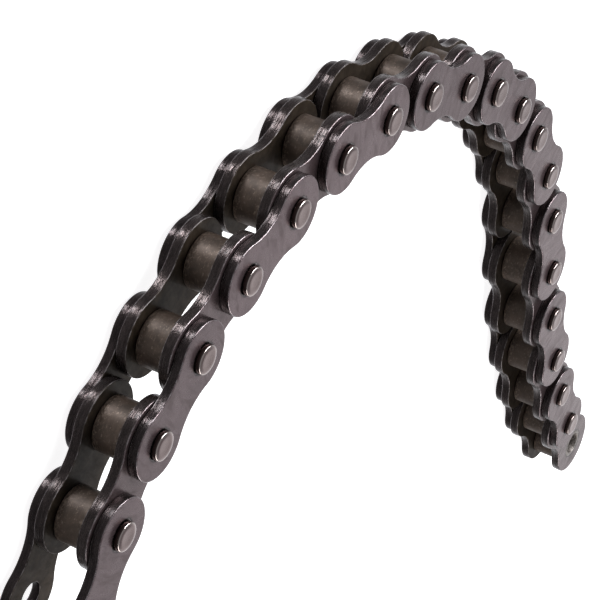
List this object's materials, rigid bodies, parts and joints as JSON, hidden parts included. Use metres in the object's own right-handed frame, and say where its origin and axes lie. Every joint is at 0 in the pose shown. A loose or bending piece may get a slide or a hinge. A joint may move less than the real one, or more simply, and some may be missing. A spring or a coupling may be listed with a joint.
{
  "type": "roller chain",
  "caption": "Length of simplex roller chain with waisted link plates, riveted pins, bushes and free rollers, curved as it runs on a large wheel.",
  "frame": {"origin": "axis of the open clevis bore at the first end, at the middle of the chain's width", "axes": "+Z along the pins, through the chain's width; the chain lies in the XY plane, curving from +Y at the origin over to +X"},
  "size_m": [0.2471, 0.111, 0.0164],
  "materials": {
    "outer_plate_steel": "satin dark grey steel with a faint mauve cast, oiled rims",
    "inner_plate_steel": "near-black oiled steel with glossy rims",
    "pin_steel": "pinkish bronze-tinted steel, bright rim at the riveted end",
    "bush_steel": "dark oiled steel",
    "roller_steel": "dark brown heat-treated steel with a broad soft highlight"
  },
  "bodies": {
    "outer_link_01": {"outer_link_01_plates": "outer_plate_steel", "outer_link_01_pin": "pin_steel"},
    "outer_link_02": {"outer_link_02_plates": "outer_plate_steel", "outer_link_02_pins": "pin_steel"},
    "outer_link_03": {"outer_link_03_plates": "outer_plate_steel", "outer_link_03_pins": "pin_steel"},
    "outer_link_04": {"outer_link_04_plates": "outer_plate_steel", "outer_link_04_pins": "pin_steel"},
    "outer_link_05": {"outer_link_05_plates": "outer_plate_steel", "outer_link_05_pins": "pin_steel"},
    "outer_link_06": {"outer_link_06_plates": "outer_plate_steel", "outer_link_06_pins": "pin_steel"},
    "outer_link_07": {"outer_link_07_plates": "outer_plate_steel", "outer_link_07_pins": "pin_steel"},
    "outer_link_08": {"outer_link_08_plates": "outer_plate_steel", "outer_link_08_pins": "pin_steel"},
    "outer_link_09": {"outer_link_09_plates": "outer_plate_steel", "outer_link_09_pins": "pin_steel"},
    "outer_link_10": {"outer_link_10_plates": "outer_plate_steel", "outer_link_10_pins": "pin_steel"},
    "inner_link_01": {"inner_link_01_plates": "inner_plate_steel", "inner_link_01_bushes": "bush_steel"},
    "inner_link_02": {"inner_link_02_plates": "inner_plate_steel", "inner_link_02_bushes": "bush_steel"},
    "inner_link_03": {"inner_link_03_plates": "inner_plate_steel", "inner_link_03_bushes": "bush_steel"},
    "inner_link_04": {"inner_link_04_plates": "inner_plate_steel", "inner_link_04_bushes": "bush_steel"},
    "inner_link_05": {"inner_link_05_plates": "inner_plate_steel", "inner_link_05_bushes": "bush_steel"},
    "inner_link_06": {"inner_link_06_plates": "inner_plate_steel", "inner_link_06_bushes": "bush_steel"},
    "inner_link_07": {"inner_link_07_plates": "inner_plate_steel", "inner_link_07_bushes": "bush_steel"},
    "inner_link_08": {"inner_link_08_plates": "inner_plate_steel", "inner_link_08_bushes": "bush_steel"},
    "inner_link_09": {"inner_link_09_plates": "inner_plate_steel", "inner_link_09_bushes": "bush_steel"},
    "inner_link_10": {"inner_link_10_plates": "inner_plate_steel", "inner_link_10_bushes": "bush_steel"},
    "roller_01": {"roller_01": "roller_steel"},
    "roller_02": {"roller_02": "roller_steel"},
    "roller_03": {"roller_03": "roller_steel"},
    "roller_04": {"roller_04": "roller_steel"},
    "roller_05": {"roller_05": "roller_steel"},
    "roller_06": {"roller_06": "roller_steel"},
    "roller_07": {"roller_07": "roller_steel"},
    "roller_08": {"roller_08": "roller_steel"},
    "roller_09": {"roller_09": "roller_steel"},
    "roller_10": {"roller_10": "roller_steel"},
    "roller_11": {"roller_11": "roller_steel"},
    "roller_12": {"roller_12": "roller_steel"},
    "roller_13": {"roller_13": "roller_steel"},
    "roller_14": {"roller_14": "roller_steel"},
    "roller_15": {"roller_15": "roller_steel"},
    "roller_16": {"roller_16": "roller_steel"},
    "roller_17": {"roller_17": "roller_steel"},
    "roller_18": {"roller_18": "roller_steel"},
    "roller_19": {"roller_19": "roller_steel"},
    "roller_20": {"roller_20": "roller_steel"}
  },
  "joints": [
    {"name": "link_hinge_01", "type": "hinge", "parent": "inner_link_01", "child": "outer_link_01", "pos_m": [0.00202, 0.01575, 0], "axis": [0, 0, 1], "range_deg": [-109.73, 90.27]},
    {"name": "link_hinge_02", "type": "hinge", "parent": "outer_link_02", "child": "inner_link_01", "pos_m": [0.00666, 0.03093, 0], "axis": [0, 0, -1], "range_deg": [-90.27, 109.73]},
    {"name": "link_hinge_03", "type": "hinge", "parent": "inner_link_02", "child": "outer_link_02", "pos_m": [0.01381, 0.0451, 0], "axis": [0, 0, 1], "range_deg": [-109.73, 90.27]},
    {"name": "link_hinge_04", "type": "hinge", "parent": "outer_link_03", "child": "inner_link_02", "pos_m": [0.02325, 0.05786, 0], "axis": [0, 0, -1], "range_deg": [-90.27, 109.73]},
    {"name": "link_hinge_05", "type": "hinge", "parent": "inner_link_03", "child": "outer_link_03", "pos_m": [0.03471, 0.06885, 0], "axis": [0, 0, 1], "range_deg": [-109.73, 90.27]},
    {"name": "link_hinge_06", "type": "hinge", "parent": "outer_link_04", "child": "inner_link_03", "pos_m": [0.04786, 0.07774, 0], "axis": [0, 0, -1], "range_deg": [-90.27, 109.73]},
    {"name": "link_hinge_07", "type": "hinge", "parent": "inner_link_04", "child": "outer_link_04", "pos_m": [0.06233, 0.08428, 0], "axis": [0, 0, 1], "range_deg": [-109.73, 90.27]},
    {"name": "link_hinge_08", "type": "hinge", "parent": "outer_link_05", "child": "inner_link_04", "pos_m": [0.07769, 0.08828, 0], "axis": [0, 0, -1], "range_deg": [-90.27, 109.73]},
    {"name": "link_hinge_09", "type": "hinge", "parent": "inner_link_05", "child": "outer_link_05", "pos_m": [0.09351, 0.08962, 0], "axis": [0, 0, 1], "range_deg": [-109.73, 90.27]},
    {"name": "link_hinge_10", "type": "hinge", "parent": "inner_link_05", "child": "outer_link_06", "pos_m": [0.10933, 0.08828, 0], "axis": [0, 0, 1], "range_deg": [-90.27, 109.73]},
    {"name": "link_hinge_11", "type": "hinge", "parent": "outer_link_06", "child": "inner_link_06", "pos_m": [0.12469, 0.08428, 0], "axis": [0, 0, -1], "range_deg": [-109.73, 90.27]},
    {"name": "link_hinge_12", "type": "hinge", "parent": "inner_link_06", "child": "outer_link_07", "pos_m": [0.13916, 0.07774, 0], "axis": [0, 0, 1], "range_deg": [-90.27, 109.73]},
    {"name": "link_hinge_13", "type": "hinge", "parent": "outer_link_07", "child": "inner_link_07", "pos_m": [0.15231, 0.06885, 0], "axis": [0, 0, -1], "range_deg": [-109.73, 90.27]},
    {"name": "link_hinge_14", "type": "hinge", "parent": "inner_link_07", "child": "outer_link_08", "pos_m": [0.16377, 0.05786, 0], "axis": [0, 0, 1], "range_deg": [-90.27, 109.73]},
    {"name": "link_hinge_15", "type": "hinge", "parent": "outer_link_08", "child": "inner_link_08", "pos_m": [0.17321, 0.0451, 0], "axis": [0, 0, -1], "range_deg": [-96.49, 103.51]},
    {"name": "link_hinge_16", "type": "hinge", "parent": "inner_link_08", "child": "outer_link_09", "pos_m": [0.18342, 0.03294, 0], "axis": [0, 0, 1], "range_deg": [-104, 96]},
    {"name": "link_hinge_17", "type": "hinge", "parent": "outer_link_09", "child": "inner_link_09", "pos_m": [0.19444, 0.02152, 0], "axis": [0, 0, -1], "range_deg": [-95, 105]},
    {"name": "link_hinge_18", "type": "hinge", "parent": "inner_link_09", "child": "outer_link_10", "pos_m": [0.20642, 0.01111, 0], "axis": [0, 0, 1], "range_deg": [-105, 95]},
    {"name": "link_hinge_19", "type": "hinge", "parent": "outer_link_10", "child": "inner_link_10", "pos_m": [0.21927, 0.00177, 0], "axis": [0, 0, -1], "range_deg": [-95, 105]},
    {"name": "roller_01_spin", "type": "hinge", "parent": "inner_link_01", "child": "roller_01", "pos_m": [0.00202, 0.01575, 0], "axis": [0, 0, 1], "continuous": true},
    {"name": "roller_02_spin", "type": "hinge", "parent": "inner_link_01", "child": "roller_02", "pos_m": [0.00666, 0.03093, 0], "axis": [0, 0, 1], "continuous": true},
    {"name": "roller_03_spin", "type": "hinge", "parent": "inner_link_02", "child": "roller_03", "pos_m": [0.01381, 0.0451, 0], "axis": [0, 0, 1], "continuous": true},
    {"name": "roller_04_spin", "type": "hinge", "parent": "inner_link_02", "child": "roller_04", "pos_m": [0.02325, 0.05786, 0], "axis": [0, 0, 1], "continuous": true},
    {"name": "roller_05_spin", "type": "hinge", "parent": "inner_link_03", "child": "roller_05", "pos_m": [0.03471, 0.06885, 0], "axis": [0, 0, 1], "continuous": true},
    {"name": "roller_06_spin", "type": "hinge", "parent": "inner_link_03", "child": "roller_06", "pos_m": [0.04786, 0.07774, 0], "axis": [0, 0, 1], "continuous": true},
    {"name": "roller_07_spin", "type": "hinge", "parent": "inner_link_04", "child": "roller_07", "pos_m": [0.06233, 0.08428, 0], "axis": [0, 0, 1], "continuous": true},
    {"name": "roller_08_spin", "type": "hinge", "parent": "inner_link_04", "child": "roller_08", "pos_m": [0.07769, 0.08828, 0], "axis": [0, 0, 1], "continuous": true},
    {"name": "roller_09_spin", "type": "hinge", "parent": "inner_link_05", "child": "roller_09", "pos_m": [0.09351, 0.08962, 0], "axis": [0, 0, 1], "continuous": true},
    {"name": "roller_10_spin", "type": "hinge", "parent": "inner_link_05", "child": "roller_10", "pos_m": [0.10933, 0.08828, 0], "axis": [0, 0, 1], "continuous": true},
    {"name": "roller_11_spin", "type": "hinge", "parent": "inner_link_06", "child": "roller_11", "pos_m": [0.12469, 0.08428, 0], "axis": [0, 0, 1], "continuous": true},
    {"name": "roller_12_spin", "type": "hinge", "parent": "inner_link_06", "child": "roller_12", "pos_m": [0.13916, 0.07774, 0], "axis": [0, 0, 1], "continuous": true},
    {"name": "roller_13_spin", "type": "hinge", "parent": "inner_link_07", "child": "roller_13", "pos_m": [0.15231, 0.06885, 0], "axis": [0, 0, 1], "continuous": true},
    {"name": "roller_14_spin", "type": "hinge", "parent": "inner_link_07", "child": "roller_14", "pos_m": [0.16377, 0.05786, 0], "axis": [0, 0, 1], "continuous": true},
    {"name": "roller_15_spin", "type": "hinge", "parent": "inner_link_08", "child": "roller_15", "pos_m": [0.17321, 0.0451, 0], "axis": [0, 0, 1], "continuous": true},
    {"name": "roller_16_spin", "type": "hinge", "parent": "inner_link_08", "child": "roller_16", "pos_m": [0.18342, 0.03294, 0], "axis": [0, 0, 1], "continuous": true},
    {"name": "roller_17_spin", "type": "hinge", "parent": "inner_link_09", "child": "roller_17", "pos_m": [0.19444, 0.02152, 0], "axis": [0, 0, 1], "continuous": true},
    {"name": "roller_18_spin", "type": "hinge", "parent": "inner_link_09", "child": "roller_18", "pos_m": [0.20642, 0.01111, 0], "axis": [0, 0, 1], "continuous": true},
    {"name": "roller_19_spin", "type": "hinge", "parent": "inner_link_10", "child": "roller_19", "pos_m": [0.21927, 0.00177, 0], "axis": [0, 0, 1], "continuous": true},
    {"name": "roller_20_spin", "type": "hinge", "parent": "inner_link_10", "child": "roller_20", "pos_m": [0.23287, -0.0064, 0], "axis": [0, 0, 1], "continuous": true}
  ]
}
